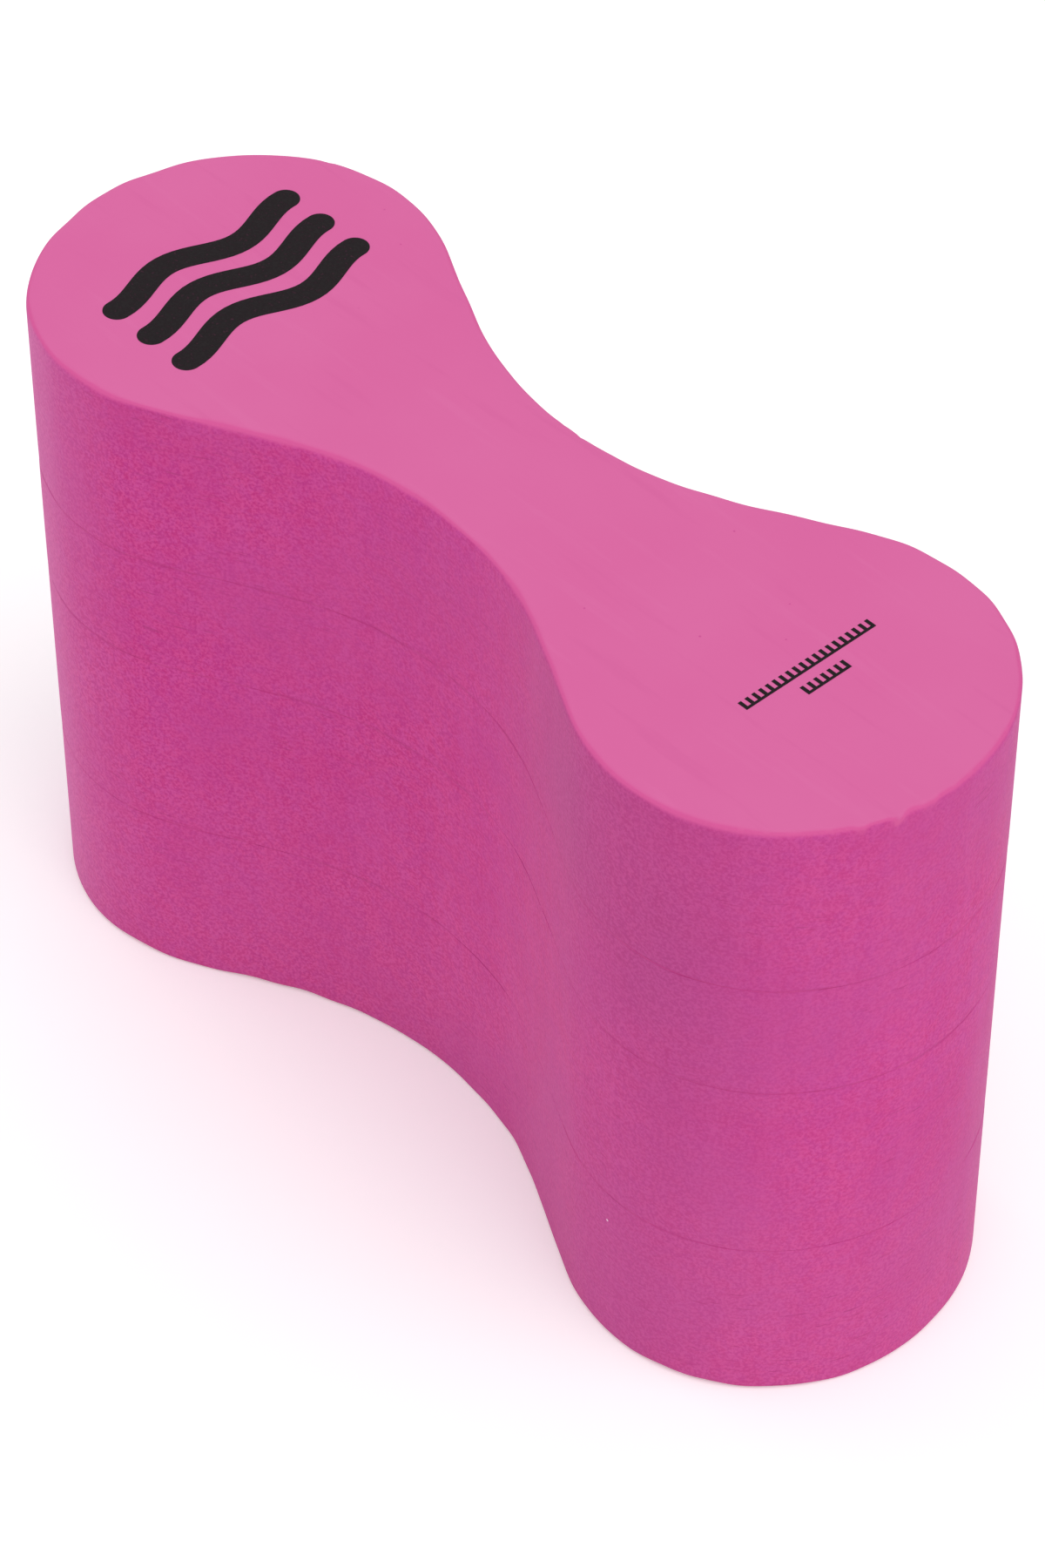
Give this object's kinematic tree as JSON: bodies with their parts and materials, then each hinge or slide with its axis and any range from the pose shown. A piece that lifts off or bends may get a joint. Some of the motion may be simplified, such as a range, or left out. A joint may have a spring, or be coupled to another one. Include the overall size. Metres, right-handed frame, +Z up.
{
  "type": "pull buoy",
  "caption": "Figure-of-eight foam float with two round lobes and a narrow waist, held between a swimmer's thighs.",
  "frame": {"origin": "centre of the base, on the surface that the buoy stands on", "axes": "+X along the buoy from the lobe with the waves to the lobe with the tick rows, +Y across it, +Z up from the base to the marked face"},
  "size_m": [0.235, 0.085, 0.1526],
  "materials": {
    "foam": "matt closed-cell foam, pink, smooth on top and base and fine-celled on the cut sides",
    "adhesive": "thin adhesive film, seen as a dark line",
    "ink": "dark stamped ink, matt"
  },
  "bodies": {
    "root": {"foam_board_base": "foam", "foam_board_lower": "foam", "foam_board_upper": "foam", "foam_board_top": "foam", "bond_film_1": "adhesive", "bond_film_2": "adhesive", "bond_film_3": "adhesive", "print_wave_1": "ink", "print_wave_2": "ink", "print_wave_3": "ink", "print_tick_row_long": "ink", "print_tick_row_short": "ink"}
  },
  "joints": []
}
